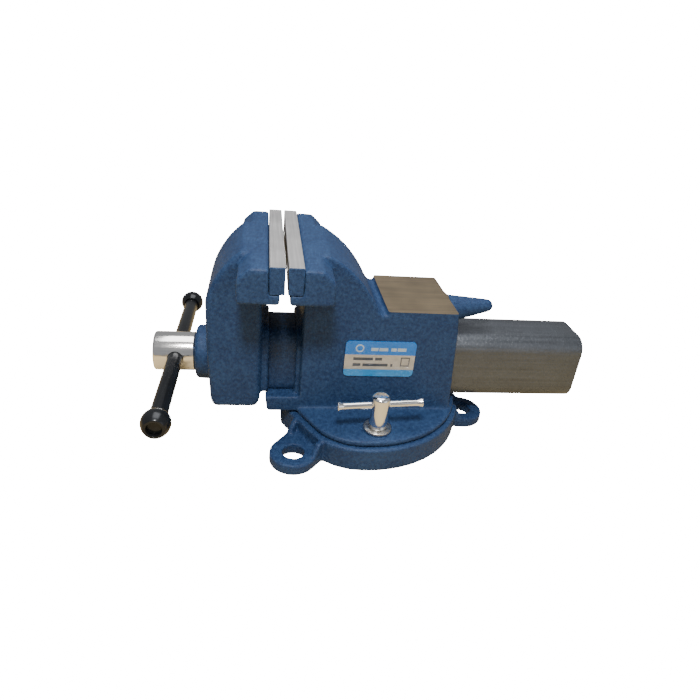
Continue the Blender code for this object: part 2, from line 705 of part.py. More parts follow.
def make_return_spring(look):
    """A round wire wound between the washer and the collar, as one closed coil."""
    start = TUBE_FRONT_X + WASHER_THICKNESS + 2 * GAP + SPRING_WIRE
    length = COLLAR_X[0] - GAP - SPRING_WIRE - start
    points = 16 * SPRING_TURNS
    curve = bpy.data.curves.new("spring", "CURVE")
    curve.dimensions = "3D"
    curve.bevel_depth = SPRING_WIRE
    curve.bevel_resolution = 1
    curve.use_fill_caps = True
    spline = curve.splines.new("POLY")
    spline.points.add(points)
    for i, point in enumerate(spline.points):
        turn = 2 * pi * SPRING_TURNS * i / points
        y, z = SPRING_RADIUS * cos(turn), SPRING_RADIUS * sin(turn)
        point.co = (start + length * i / points, y, SCREW_Z + z, 1)
    spring = bpy.data.objects.new("spring", curve)
    bpy.context.collection.objects.link(spring)
    bpy.context.view_layer.update()
    graph = bpy.context.evaluated_depsgraph_get()
    mesh = bpy.data.meshes.new_from_object(spring.evaluated_get(graph))
    bpy.data.objects.remove(spring, do_unlink=True)
    coil = bpy.data.objects.new("coil", mesh)
    bpy.context.collection.objects.link(coil)
    return finish(coil, "return_spring", look)


def make_spindle_nut(look):
    """A round nut on a foot that stands on the body's floor, through the tube's slot."""
    nut = along_x(rod(NUT_RADIUS, -NUT_HALF_LENGTH, NUT_HALF_LENGTH), SCREW_Z)
    floor = TUBE_BOTTOM - SLIDE_GAP + GAP
    foot = block(
        (-NUT_HALF_LENGTH + 1 * MM, NUT_HALF_LENGTH - 1 * MM),
        (-NUT_FOOT_HALF, NUT_FOOT_HALF),
        (floor, SCREW_Z),
    )
    join(nut, foot)
    bore = along_x(rod(THREAD_RADIUS + GAP, -40 * MM, 40 * MM), SCREW_Z)
    holes = [
        at(rod(NUT_BOLT_RADIUS + GAP, 20 * MM, NUT_BOLT_TOP + GAP, 16), side * NUT_BOLT_X, 0)
        for side in (-1, 1)
    ]
    cut(nut, bore, *holes)
    return finish(nut, "spindle_nut", look)


def make_nut_bolt(name, side, look):
    head_top = 20 * MM - GAP
    bolt = rod(NUT_BOLT_RADIUS, head_top - 1 * MM, NUT_BOLT_TOP, 16)
    join(bolt, rod(7.5 * MM, head_top - 6 * MM, head_top, 6))
    return finish(at(bolt, side * NUT_BOLT_X, 0), name, look)


# ---------------------------------------------------------------- handle


def handle_piece(piece):
    """Lay a piece made along Z on the handle bar's axis, with +Z along the bar's far end."""
    turn = Vector((0, 0, 1)).rotation_difference(HANDLE_AXIS).to_matrix().to_4x4()
    return transform(piece, Matrix.Translation((HANDLE_X, 0, SCREW_Z)) @ turn)


def make_handle_bar(look):
    half = KNOB_CENTRE + KNOB_LENGTH / 2 - KNOB_LIP - GAP
    bar = turned(
        [
            (0, -half),
            (HANDLE_RADIUS - 1 * MM, -half),
            (HANDLE_RADIUS, -half + 1 * MM),
            (HANDLE_RADIUS, half - 1 * MM),
            (HANDLE_RADIUS - 1 * MM, half),
            (0, half),
        ],
        28,
    )
    return set_origin(finish(handle_piece(bar), "handle_bar", look), (HANDLE_X, 0, SCREW_Z))


def make_handle_knob(name, side, look):
    """A barrel-shaped knob, open at its outer end, where the bar's end shows."""
    half = KNOB_LENGTH / 2
    belly = []
    for i in range(7):
        along = -half + KNOB_LENGTH * i / 6
        drop = (along / half) ** 2
        belly.append((KNOB_RADIUS - 3.2 * MM * drop, along))
    bore = HANDLE_RADIUS + GAP
    inside = [(KNOB_END_HOLE, half), (KNOB_END_HOLE, half - KNOB_LIP)]
    inside += [(bore, half - KNOB_LIP), (bore, -half)]
    knob = turned(belly + inside, 28)
    if side < 0:
        transform(knob, Matrix.Rotation(pi, 4, "X"))
    at(knob, 0, 0, side * KNOB_CENTRE)
    return set_origin(finish(handle_piece(knob), name, look), (HANDLE_X, 0, SCREW_Z))


# ---------------------------------------------------------------- swivel locks


def lock_bar_piece(piece, side):
    """Lay a piece made along Z on a lock bar's axis; side is -1 in front and 1 behind."""
    turn = Matrix.Rotation(-side * LOCK_BAR_ANGLE, 4, "Z") @ Matrix.Rotation(pi / 2, 4, "Y")
    return transform(piece, Matrix.Translation((LOCK_X, side * LOCK_Y, LOCK_BAR_Z)) @ turn)


def make_lock_screw(name, side, look):
    seat = FLANGE_TOP + LOCK_WASHER_THICKNESS + 2 * GAP
    screw = turned(
        [
            (0, BASE_FLOOR + 1.5 * MM),
            (LOCK_SHANK_RADIUS - 1 * MM, BASE_FLOOR + 1.5 * MM),
            (LOCK_SHANK_RADIUS, BASE_FLOOR + 2.5 * MM),
            (LOCK_SHANK_RADIUS, seat),
            (LOCK_HEAD_RADIUS, seat),
            (LOCK_HEAD_RADIUS, LOCK_TOP - 1 * MM),
            (LOCK_HEAD_RADIUS - 1 * MM, LOCK_TOP),
            (0, LOCK_TOP + 0.6 * MM),
        ],
        28,
    )
    at(screw, LOCK_X, side * LOCK_Y)
    cut(screw, lock_bar_piece(rod(LOCK_BAR_RADIUS + GAP, -20 * MM, 20 * MM, 16), side))
    return set_origin(finish(screw, name, look), (LOCK_X, side * LOCK_Y, LOCK_BAR_Z))


def make_lock_bar(name, side, look):
    """A thin bar with flared ends that slides through the lock screw."""
    half, radius, flare = LOCK_BAR_HALF, LOCK_BAR_RADIUS, LOCK_BAR_FLARE
    end = [(radius, half - 6 * MM), (radius + 0.5 * MM, half - 3 * MM), (flare, half - 0.6 * MM)]
    end += [(flare - 0.7 * MM, half)]
    profile = [(0, -half)] + [(r, -z) for r, z in reversed(end)] + end + [(0, half)]
    bar = lock_bar_piece(turned(profile, 16), side)
    return set_origin(finish(bar, name, look), (LOCK_X, side * LOCK_Y, LOCK_BAR_Z))


def make_lock_washer(name, side, look):
    low = FLANGE_TOP + GAP
    washer = ring(LOCK_SHANK_RADIUS + GAP, LOCK_WASHER_RADIUS, low, low + LOCK_WASHER_THICKNESS)
    return finish(at(washer, LOCK_X, side * LOCK_Y), name, look)


def make_tee_nut(name, side, look):
    """A square nut that runs in the base's ring-shaped slot, turned to face the axis."""
    half = TEE_NUT_HALF
    nut = block((-half, half), (-half, half), (BASE_FLOOR + GAP, TEE_TOP - GAP))
    cut(nut, rod(LOCK_SHANK_RADIUS + GAP, 0, 30 * MM, 20))
    turn = Matrix.Rotation(atan2(side * LOCK_Y, LOCK_X), 4, "Z")
    transform(nut, Matrix.Translation((LOCK_X, side * LOCK_Y, 0)) @ turn)
    return finish(nut, name, look)


# ---------------------------------------------------------------- label


def make_label(look):
    """A thin label with round corners on the body's front side."""
    (x, z), (width, height) = LABEL_CENTRE, LABEL_SIZE
    outline = rounded_rectangle(
        (x - width / 2, x + width / 2), (z - height / 2, z + height / 2), LABEL_CORNER
    )
    face = -BODY_HALF - GAP
    return finish(prism(outline, "Y", face - LABEL_THICKNESS, face), "side_label", look)


def main():
    clear_scene()
    paint = material("blue_paint", PAINT)
    bright = material("bright_steel", BRIGHT_STEEL)
    dark = material("dark_steel", DARK_STEEL)
    chrome = material("chrome", CHROME)
    black = material("blackened", BLACKENED)
    bronze = material("bronze", BRONZE)
    zinc = material("zinc", ZINC)

    make_swivel_base(paint)
    make_fixed_body(paint)
    make_movable_jaw(paint)
    make_slide_tube(bright)
    plates = (
        ("fixed", FIXED_FACE_X, 1),
        ("movable", MOVABLE_FACE_X, -1),
    )
    for jaw, face_x, direction in plates:
        make_jaw_plate(f"{jaw}_jaw_plate", face_x, direction, bright)
        for end, y in (("near", -SCREW_Y), ("far", SCREW_Y)):
            make_jaw_screw(f"{jaw}_plate_screw_{end}", face_x, direction, y, black)
    make_lead_screw(chrome)
    make_collar(dark)
    make_collar_pin(dark)
    make_thrust_washer(zinc)
    make_return_spring(dark)
    make_spindle_nut(bronze)
    for end, side in (("front", -1), ("rear", 1)):
        make_nut_bolt(f"nut_bolt_{end}", side, dark)
    make_handle_bar(black)
    for end, side in (("near", -1), ("far", 1)):
        make_handle_knob(f"handle_knob_{end}", side, black)
        make_lock_screw(f"lock_screw_{end}", side, chrome)
        make_lock_bar(f"lock_bar_{end}", side, chrome)
        make_lock_washer(f"lock_washer_{end}", side, zinc)
        make_tee_nut(f"tee_nut_{end}", side, dark)
    make_label(material("label_blue", LABEL_BLUE))


main()
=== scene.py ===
import json
from math import cos, pi, radians, sin

import bmesh
import bpy
import numpy as np
from mathutils import Matrix, Vector


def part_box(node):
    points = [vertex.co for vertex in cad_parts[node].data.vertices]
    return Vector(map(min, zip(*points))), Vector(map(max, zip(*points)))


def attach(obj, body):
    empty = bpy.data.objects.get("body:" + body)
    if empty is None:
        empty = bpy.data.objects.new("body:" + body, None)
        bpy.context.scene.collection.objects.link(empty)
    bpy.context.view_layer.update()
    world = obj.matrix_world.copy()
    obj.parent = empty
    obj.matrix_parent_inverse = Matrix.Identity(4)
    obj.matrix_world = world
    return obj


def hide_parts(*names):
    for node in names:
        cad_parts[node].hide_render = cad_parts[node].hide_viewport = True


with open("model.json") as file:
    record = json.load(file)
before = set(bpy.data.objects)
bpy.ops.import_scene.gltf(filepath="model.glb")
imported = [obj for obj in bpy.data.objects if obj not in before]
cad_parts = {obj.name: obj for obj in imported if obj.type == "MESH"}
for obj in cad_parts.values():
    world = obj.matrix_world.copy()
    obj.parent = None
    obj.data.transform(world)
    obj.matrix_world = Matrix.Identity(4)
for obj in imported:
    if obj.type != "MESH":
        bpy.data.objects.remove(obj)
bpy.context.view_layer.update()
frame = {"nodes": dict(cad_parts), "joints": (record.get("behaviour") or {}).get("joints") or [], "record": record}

bl_info = {
    "name": "Bench Vise",
    "version": (1, 0, 0),
    "blender": (4, 5, 0),
    "location": "3D View > Sidebar > Bench Vise",
    "description": "Gives a packed bench vise its castings, bright parts, label and studio",
    "category": "Object",
}

MM = 0.001

# Places and sizes that the record doesn't hold, in metres in the vise's own frame
SPINDLE_Z = 58 * MM
PAD_TOP = 120.6 * MM
PAD_FRONT_X = 10.6 * MM
PAD_REAR_X = 70 * MM
TUBE_PAINT_X = -58 * MM  # the tube is painted in front of this place
HALF_JAW = 75 * MM

# Lead screw
SHOULDER_X = -146.7 * MM  # back of its head
NECK_END_X = -84 * MM
THREAD_START_X = -81.5 * MM
NECK_RADIUS = 11 * MM
THREAD_RADIUS = 12 * MM
THREAD_DEPTH = 2.4 * MM
THREAD_PITCH = 6 * MM
HEAD_ROUNDING = 2.2 * MM

# Handle
HANDLE_X = -163 * MM
HANDLE_TILT = radians(2)
HANDLE_HALF = 118.2 * MM
HANDLE_RADIUS = 6.5 * MM
HANDLE_BORE = 6.9 * MM
KNOB_CENTRE = 113 * MM  # from the middle of the bar
KNOB_HALF = 8.5 * MM
KNOB_RADIUS = 10.8 * MM
KNOB_TAPER = 3.2 * MM  # how much thinner it is at its ends

# Swivel locks
STUD_RADIUS = 7.9 * MM
STUD_SHANK = 5.6 * MM
LOCK_BAR_HALF = 36.3 * MM
LOCK_BAR_RADIUS = 3 * MM
LOCK_BAR_BORE = 3.3 * MM
LOCK_BAR_FLARE = 4.3 * MM

# Return spring
SPRING_WIRE = 1.25 * MM  # radius of the wire
SPRING_TURNS = 4

# Camera and lights
CAMERA_PLACE = (-0.0913, -0.45926, 0.31313)
CAMERA_YAW, CAMERA_PITCH, CAMERA_ROLL = radians(9.938), radians(28.25), radians(6.095)
LIGHT_TARGET = (-0.02, 0, 0.08)
FLOOR_REACH = 6.0
FLOOR_DROP = 0.4 * MM

# Ways to turn the machining lines, which run along X
ALONG_X = (0, 0, 0)
ALONG_Y = (0, 0, pi / 2)

PAPER_GREY = (0.42, 0.52, 0.62)
INK = (0.05, 0.06, 0.08)


def joint_of(name):
    return next(joint for joint in frame["joints"] if joint["name"] == name)


# ---------------------------------------------------------------- settings


class CastingSettings(bpy.types.PropertyGroup):
    """Sizes and colours of the painted castings."""

    voxel: bpy.props.FloatProperty(
        name="Casting grain",
        description="Distance between the points of a casting's surface",
        default=0.0012,
        min=0.0008,
        unit="LENGTH",
    )
    rounding: bpy.props.IntProperty(
        name="Edge rounding",
        description="How many times a casting's surface is relaxed, which rounds its edges",
        default=5,
        min=0,
    )
    roughcast: bpy.props.FloatProperty(
        name="Sand roughness",
        description="Height of the bumps the sand mould leaves",
        default=0.00016,
        unit="LENGTH",
    )
    paint: bpy.props.FloatVectorProperty(
        name="Paint",
        description="Blue of the textured enamel",
        subtype="COLOR",
        size=3,
        default=(0.0095, 0.0315, 0.099),
        min=0,
        max=1,
    )
    paint_light: bpy.props.FloatVectorProperty(
        name="Light flecks",
        description="Paler blue between the dark spots of the enamel",
        subtype="COLOR",
        size=3,
        default=(0.026, 0.066, 0.162),
        min=0,
        max=1,
    )


class MetalSettings(bpy.types.PropertyGroup):
    """Colours of the bare and plated metal."""

    ground: bpy.props.FloatVectorProperty(
        name="Ground steel",
        description="Tops of the jaw plates",
        subtype="COLOR",
        size=3,
        default=(0.52, 0.52, 0.53),
        min=0,
        max=1,
    )
    pad: bpy.props.FloatVectorProperty(
        name="Anvil pad",
        description="Machined iron of the anvil pad",
        subtype="COLOR",
        size=3,
        default=(0.33, 0.26, 0.17),
        min=0,
        max=1,
    )
    drawn: bpy.props.FloatVectorProperty(
        name="Drawn steel",
        description="Bare slide tube",
        subtype="COLOR",
        size=3,
        default=(0.125, 0.138, 0.16),
        min=0,
        max=1,
    )
    chrome: bpy.props.FloatVectorProperty(
        name="Plating",
        description="Spindle head and swivel locks",
        subtype="COLOR",
        size=3,
        default=(0.97, 0.96, 0.95),
        min=0,
        max=1,
    )
    black: bpy.props.FloatVectorProperty(
        name="Blackened steel",
        description="Handle bar and knobs",
        subtype="COLOR",
        size=3,
        default=(0.022, 0.024, 0.028),
        min=0,
        max=1,
    )


class LabelSettings(bpy.types.PropertyGroup):
    """Colours of the plain printed label."""

    band: bpy.props.FloatVectorProperty(
        name="Top band",
        description="Colour of the label's top band",
        subtype="COLOR",
        size=3,
        default=(0.004, 0.165, 0.58),
        min=0,
        max=1,
    )
    ground: bpy.props.FloatVectorProperty(
        name="Middle",
        description="Colour of the label's middle band",
        subtype="COLOR",
        size=3,
        default=(0.46, 0.42, 0.36),
        min=0,
        max=1,
    )
    foot: bpy.props.FloatVectorProperty(
        name="Bottom band",
        description="Colour of the label's bottom band",
        subtype="COLOR",
        size=3,
        default=(0.03, 0.27, 0.64),
        min=0,
        max=1,
    )


class StageSettings(bpy.types.PropertyGroup):
    """Light, floor and camera."""

    floor: bpy.props.FloatVectorProperty(
        name="Floor",
        description="Colour of the plain floor",
        subtype="COLOR",
        size=3,
        default=(0.86, 0.86, 0.86),
        min=0,
        max=1,
    )
    glow: bpy.props.FloatProperty(
        name="Backdrop",
        description="Brightness of the backdrop and floor behind the vise",
        default=24.0,
        min=0,
    )
    sky: bpy.props.FloatProperty(
        name="Room light",
        description="Strength of the even light from all sides",
        default=0.3,
        min=0,
    )
    bounce: bpy.props.FloatVectorProperty(
        name="Table glow",
        description="Warm colour the floor shows in the bright metal",
        subtype="COLOR",
        size=3,
        default=(0.60, 0.46, 0.24),
        min=0,
        max=1,
    )
    lens: bpy.props.FloatProperty(
        name="Lens",
        description="Focal length in millimetres on a 36 mm wide sensor",
        default=29.88,
        min=1,
    )


# ---------------------------------------------------------------- node tools


class Graph:
    """Short ways to add and join the nodes of one tree."""

    def __init__(self, tree):
        self.tree = tree

    def node(self, kind, **settings):
        made = self.tree.nodes.new(kind)
        for key, value in settings.items():
            setattr(made, key, value)
        return made

    def put(self, socket, value):
        if isinstance(value, bpy.types.NodeSocket):
            self.tree.links.new(value, socket)
        elif isinstance(value, (tuple, list)) and len(value) == 3 and socket.type == "RGBA":
            socket.default_value = (*value, 1)
        else:
            socket.default_value = value

    def math(self, operation, a, b=0.0, clamp=False):
        made = self.node("ShaderNodeMath", operation=operation, use_clamp=clamp)
        self.put(made.inputs[0], a)
        self.put(made.inputs[1], b)
        return made.outputs[0]

    def mix(self, share, a, b):
        made = self.node("ShaderNodeMix", data_type="RGBA")
        self.put(made.inputs["Factor"], share)
        self.put(made.inputs["A"], a)
        self.put(made.inputs["B"], b)
        return made.outputs["Result"]

    def spread(self, value, low, high, to_low=0.0, to_high=1.0):
        made = self.node("ShaderNodeMapRange")
        self.put(made.inputs["Value"], value)
        for name, number in zip(("From Min", "From Max", "To Min", "To Max"), (low, high, to_low, to_high)):
            self.put(made.inputs[name], number)
        return made.outputs["Result"]

    def noise(self, vector, scale, detail=2.0, roughness=0.5):
        made = self.node("ShaderNodeTexNoise")
        self.put(made.inputs["Vector"], vector)
        made.inputs["Detail"].default_value = detail
        made.inputs["Roughness"].default_value = roughness
        self.put(made.inputs["Scale"], scale)
        return made.outputs["Fac"]

    def place(self, location=(0, 0, 0), rotation=(0, 0, 0), scale=(1, 1, 1)):
        """The piece's own coordinates, through a Mapping node."""
        coordinates = self.node("ShaderNodeTexCoord")
        mapping = self.node("ShaderNodeMapping")
        self.put(mapping.inputs["Vector"], coordinates.outputs["Object"])
        mapping.inputs["Location"].default_value = location
        mapping.inputs["Rotation"].default_value = rotation
        mapping.inputs["Scale"].default_value = scale
        return mapping.outputs["Vector"]

    def group(self, tree, **values):
        made = self.node("ShaderNodeGroup", node_tree=tree)
        for key, value in values.items():
            self.put(made.inputs[key.replace("_", " ")], value)
        return made.outputs


def new_group(name, inputs, outputs):
    """A shader group with float, colour and vector sockets, its graph and its two end nodes."""
    tree = bpy.data.node_groups.new(name, "ShaderNodeTree")
    kinds = {"float": "NodeSocketFloat", "color": "NodeSocketColor", "vector": "NodeSocketVector"}
    for title, kind in inputs.items():
        tree.interface.new_socket(name=title, in_out="INPUT", socket_type=kinds[kind])
    for title, kind in outputs.items():
        tree.interface.new_socket(name=title, in_out="OUTPUT", socket_type=kinds[kind])
    graph = Graph(tree)
    return graph, graph.node("NodeGroupInput").outputs, graph.node("NodeGroupOutput").inputs


def new_material(name, **constants):
    """A material with a Principled shader whose unlinked sockets are set here."""
    made = bpy.data.materials.new(name)
    made.use_nodes = True
    graph = Graph(made.node_tree)
    shader = made.node_tree.nodes["Principled BSDF"]
    for key, value in constants.items():
        graph.put(shader.inputs[key.replace("_", " ")], value)
    return made, graph, shader.inputs


def bump(graph, height, distance, strength=1.0, normal=None):
    made = graph.node("ShaderNodeBump")
    made.inputs["Distance"].default_value = distance
    made.inputs["Strength"].default_value = strength
    graph.put(made.inputs["Height"], height)
    if normal is not None:
        graph.put(made.inputs["Normal"], normal)
    return made.outputs["Normal"]


# ---------------------------------------------------------------- effects


def speckle_effect():
    """Enamel that crawls into small dark and light islands, with its height."""
    graph, given, out = new_group(
        "enamel speckle",
        {"Place": "vector", "Dark": "color", "Light": "color", "Size": "float"},
        {"Color": "color", "Height": "float", "Roughness": "float"},
    )
    scale = graph.math("DIVIDE", 1.0, given["Size"])
    island = graph.noise(given["Place"], scale, 3.0, 0.62)
    grain = graph.noise(given["Place"], graph.math("MULTIPLY", scale, 2.7), 2.0, 0.6)
    drift = graph.noise(given["Place"], graph.math("MULTIPLY", scale, 0.09), 2.0, 0.5)
    both = graph.math("ADD", graph.math("MULTIPLY", island, 0.65), graph.math("MULTIPLY", grain, 0.35))
    share = graph.spread(both, 0.40, 0.62)
    share = graph.math("ADD", share, graph.spread(drift, 0.3, 0.7, -0.2, 0.2), clamp=True)
    graph.put(out["Color"], graph.mix(share, given["Dark"], given["Light"]))
    graph.put(out["Height"], both)
    graph.put(out["Roughness"], graph.spread(both, 0.35, 0.65, 0.48, 0.7))
    return graph.tree


def edge_effect():
    """A mask that is 1 on worn outer edges, from the surface's pointiness and a noise."""
    graph, given, out = new_group(
        "edge wear", {"Place": "vector", "Amount": "float"}, {"Mask": "float"}
    )
    pointed = graph.spread(graph.node("ShaderNodeNewGeometry").outputs["Pointiness"], 0.53, 0.62)
    broken = graph.spread(graph.noise(given["Place"], 260.0, 3.0), 0.42, 0.60)
    mask = graph.math("MULTIPLY", graph.math("MULTIPLY", pointed, broken), given["Amount"], clamp=True)
    graph.put(out["Mask"], mask)
    return graph.tree


def brushed_effect():
    """Fine parallel lines along local X, with a slow cloud over them."""
    graph, given, out = new_group(
        "machined lines",
        {"Place": "vector", "Color": "color", "Lines": "float", "Contrast": "float", "Roughness": "float"},
        {"Color": "color", "Height": "float", "Roughness": "float"},
    )
    stretched = graph.node("ShaderNodeVectorMath", operation="MULTIPLY")
    graph.put(stretched.inputs[0], given["Place"])
    stretched.inputs[1].default_value = (0.02, 1.0, 1.0)
    lines = graph.noise(stretched.outputs[0], given["Lines"], 3.0, 0.65)
    cloud = graph.noise(given["Place"], 38.0, 3.0, 0.55)
    both = graph.math("ADD", graph.math("MULTIPLY", lines, 0.6), graph.math("MULTIPLY", cloud, 0.4))
    shade = graph.spread(both, 0.3, 0.7, -1.0, 1.0)
    factor = graph.math("ADD", 1.0, graph.math("MULTIPLY", shade, given["Contrast"]))
    tinted = graph.node("ShaderNodeVectorMath", operation="SCALE")
    graph.put(tinted.inputs[0], given["Color"])
    graph.put(tinted.inputs["Scale"], factor)
    graph.put(out["Color"], tinted.outputs[0])
    graph.put(out["Height"], lines)
    rough = graph.math("MULTIPLY", shade, 0.08)
    graph.put(out["Roughness"], graph.math("ADD", given["Roughness"], rough, clamp=True))
    return graph.tree


EFFECTS = {}


def effect(name):
    """One node group for each effect, built the first time it is asked for."""
    if name not in EFFECTS:
        makers = {"speckle": speckle_effect, "edge": edge_effect, "brushed": brushed_effect}
        EFFECTS[name] = makers[name]()
    return EFFECTS[name]


def paint_nodes(graph, settings, worn=True):
    """Colour, roughness and normal of the enamel."""
    place = graph.place()
    dark, light = tuple(settings.paint), tuple(settings.paint_light)
    speckle = graph.group(effect("speckle"), Place=place, Dark=dark, Light=light, Size=0.0026)
    color = speckle["Color"]
    if worn:
        wear = graph.group(effect("edge"), Place=place, Amount=0.6)["Mask"]
        color = graph.mix(wear, color, (0.13, 0.21, 0.34))
    fine = bump(graph, graph.noise(place, 900.0, 2.0), 0.00012, 0.5)
    return color, speckle["Roughness"], bump(graph, speckle["Height"], 0.0011, 0.85, fine)


def enamel(name, settings, worn=True):
    """The castings' paint, with or without worn edges."""
    made, graph, shader = new_material(
        name, IOR=1.5, Coat_Weight=0.04, Coat_Roughness=0.3, Specular_IOR_Level=0.3
    )
    color, rough, normal = paint_nodes(graph, settings, worn)
    graph.put(shader["Base Color"], color)
    graph.put(shader["Roughness"], rough)
    graph.put(shader["Normal"], normal)
    return made


def steel(name, color, lines, contrast, roughness, depth, rotation=ALONG_X, metallic=1.0):
    """Metal with machining lines: how many to a metre, how strong, how rough and how deep."""
    made, graph, shader = new_material(name, Metallic=metallic)
    place = graph.place(rotation=rotation)
    lined = graph.group(
        effect("brushed"), Place=place, Color=color, Lines=lines, Contrast=contrast, Roughness=roughness
    )
    graph.put(shader["Base Color"], lined["Color"])
    graph.put(shader["Roughness"], lined["Roughness"])
    graph.put(shader["Normal"], bump(graph, lined["Height"], depth, 0.6))
    return made


def painted_tube(metal, settings):
    """Drawn steel that is painted like the castings on its front part, with a broken edge."""
    made, graph, shader = new_material("drawn tube")
    place = graph.place()
    drawn = tuple(metal.drawn)
    lined = graph.group(
        effect("brushed"), Place=place, Color=drawn, Lines=420, Contrast=0.2, Roughness=0.34
    )
    parts = graph.node("ShaderNodeSeparateXYZ")
    graph.put(parts.inputs[0], place)
    ragged = graph.spread(graph.noise(place, 500.0, 3.0), 0.3, 0.7, -0.0006, 0.0006)
    edge = graph.math("ADD", parts.outputs["X"], ragged)
    bare = graph.math("GREATER_THAN", edge, TUBE_PAINT_X)
    color, rough, normal = paint_nodes(graph, settings, False)
    graph.put(shader["Base Color"], graph.mix(bare, color, lined["Color"]))
    graph.put(shader["Metallic"], graph.math("MULTIPLY", bare, 0.75))
    graph.put(shader["Roughness"], graph.spread(bare, 0.0, 1.0, rough, lined["Roughness"]))
    height = graph.math("MULTIPLY", lined["Height"], bare)
    graph.put(shader["Normal"], bump(graph, height, 0.00005, 0.5, normal))
    return made


def grip_material(color):
    """Ground steel crossed by two sets of grooves that leave small pyramids, with painted shade darkening the
    grooves.
    """
    made, graph, shader = new_material("grip", Metallic=1.0, Roughness=0.4)
    parts = graph.node("ShaderNodeSeparateXYZ")
    graph.put(parts.inputs[0], graph.place())
    waves = []
    for operation in ("ADD", "SUBTRACT"):
        slant = graph.math(operation, parts.outputs["Y"], parts.outputs["Z"])
        turns = graph.math("FRACT", graph.math("DIVIDE", slant, 0.0028))
        waves.append(graph.math("ABSOLUTE", graph.math("SUBTRACT", turns, 0.5)))
    groove = graph.math("MAXIMUM", *waves)
    # painted shade: the groove lines are darkened towards near black, standing in for the shade inside the
    # serrations
    groove_shade = (0.05, 0.05, 0.05)
    graph.put(shader["Base Color"], graph.mix(graph.spread(groove, 0.3, 0.5), color, groove_shade))
    graph.put(shader["Normal"], bump(graph, groove, -0.0012, 1.0))
    return made


def dress(piece, look, angle=35):
    """Give a piece one material and smooth shading with sharp edges kept."""
    piece.data.materials.clear()
    piece.data.materials.append(look)
    piece.data.shade_smooth()
    if angle is not None:
        piece.data.set_sharp_from_angle(angle=radians(angle))
    return piece


# ---------------------------------------------------------------- mesh tools


def link(name, mesh):
    made = bpy.data.objects.new(name, mesh)
    bpy.context.scene.collection.objects.link(made)
    return made


def merged_copy(node, name):
    """A copy of a CAD node's mesh with its points joined and its flat faces rejoined."""
    mesh = frame["nodes"][node].data.copy()
    bm = bmesh.new()
    bm.from_mesh(mesh)
    bmesh.ops.remove_doubles(bm, verts=bm.verts, dist=0.01 * MM)
    bmesh.ops.dissolve_limit(bm, angle_limit=radians(0.5), verts=bm.verts, edges=bm.edges)
    bm.to_mesh(mesh)
    bm.free()
    mesh.name = name
    if "sharp_face" in mesh.attributes:
        mesh.attributes.remove(mesh.attributes["sharp_face"])
    return link(name, mesh)


def baked(piece):
    """Replace a piece's mesh by what its modifiers make of it."""
    bpy.context.view_layer.update()
    graph = bpy.context.evaluated_depsgraph_get()
    mesh = bpy.data.meshes.new_from_object(piece.evaluated_get(graph))
    piece.modifiers.clear()
    piece.data = mesh
    return piece


def points_of(mesh):
    """A mesh's points as rows of x, y and z."""
    co = np.empty(len(mesh.vertices) * 3)
    mesh.vertices.foreach_get("co", co)
    return co.reshape(-1, 3)


def set_points(mesh, co):
    mesh.vertices.foreach_set("co", co.astype(np.float32).ravel())
    mesh.update()


def lattice_noise(co, cell, seed):
    """Smooth value noise: each point blends eight hashed values at the corners of its cell."""
    p = co / cell
    base = np.floor(p).astype(np.int64)
    t = p - base
    t = t * t * (3 - 2 * t)
    total = np.zeros(len(co))
    for corner in range(8):
        step = np.array([corner & 1, corner >> 1 & 1, corner >> 2 & 1])
        key = (base + step) @ np.array([73856093, 19349663, 83492791]) + seed * 2654435761
        key = (key ^ key >> 13) * 1274126177 & 0xFFFFFFFF
        value = (key ^ key >> 16 & 0xFFFF) % 65536 / 65535.0
        weight = np.prod(np.where(step, t, 1 - t), axis=1)
        total += value * weight
    return total * 2 - 1


def surface(name, grid, wrap_u=False, wrap_v=False, cap_start=False, cap_end=False):
    """A grid of points (rows along v, columns along u) as quads, closed round or capped where asked.

    Corner (i, j) joins (i, j + 1), (i + 1, j + 1) and (i + 1, j). A cap is one face over a row.
    """
    rows, columns = grid.shape[:2]
    index = np.arange(rows * columns).reshape(rows, columns)
    below = index if wrap_v else index[:-1]
    above = np.roll(index, -1, 0) if wrap_v else index[1:]
    if not wrap_u:
        corners = [below[:, :-1], below[:, 1:], above[:, 1:], above[:, :-1]]
    else:
        corners = [below, np.roll(below, -1, 1), np.roll(above, -1, 1), above]
    faces = np.stack(corners, -1).reshape(-1, 4).tolist()
    if cap_start:
        faces.append(index[0][::-1].tolist())
    if cap_end:
        faces.append(index[-1].tolist())
    mesh = bpy.data.meshes.new(name)
    mesh.from_pydata(grid.reshape(-1, 3).tolist(), [], faces)
    bm = bmesh.new()
    bm.from_mesh(mesh)
    bmesh.ops.remove_doubles(bm, verts=bm.verts, dist=0.001 * MM)
    bmesh.ops.recalc_face_normals(bm, faces=bm.faces)
    bm.to_mesh(mesh)
    bm.free()
    return link(name, mesh)


def frame_along(axis):
    """Three unit vectors: the axis and two across it."""
    along = np.array(axis, float) / np.linalg.norm(axis)
    helper = np.array([0.0, 0.0, 1.0]) if abs(along[2]) < 0.9 else np.array([1.0, 0.0, 0.0])
    side = np.cross(helper, along)
    side /= np.linalg.norm(side)
    return along, side, np.cross(along, side)


def turned(name, profile, centre, axis, sides=96, closed=False):
    """A profile of (distance along the axis, radius) points turned round an axis through a centre.

    Point (i, t) is centre + along * a_i + r_i * (side * cos t + up * sin t).
    """
    along, side, up = frame_along(axis)
    profile = np.array(profile, float)
    t = np.linspace(0, 2 * pi, sides, endpoint=False)
    around = np.cos(t)[:, None] * side + np.sin(t)[:, None] * up
    ring = profile[:, 1][:, None, None] * around[None]
    grid = np.array(centre) + profile[:, 0][:, None, None] * along + ring
    ends = not closed
    start = ends and profile[0, 1] > 0
    end = ends and profile[-1, 1] > 0
    return surface(name, grid, wrap_u=True, wrap_v=closed, cap_start=start, cap_end=end)


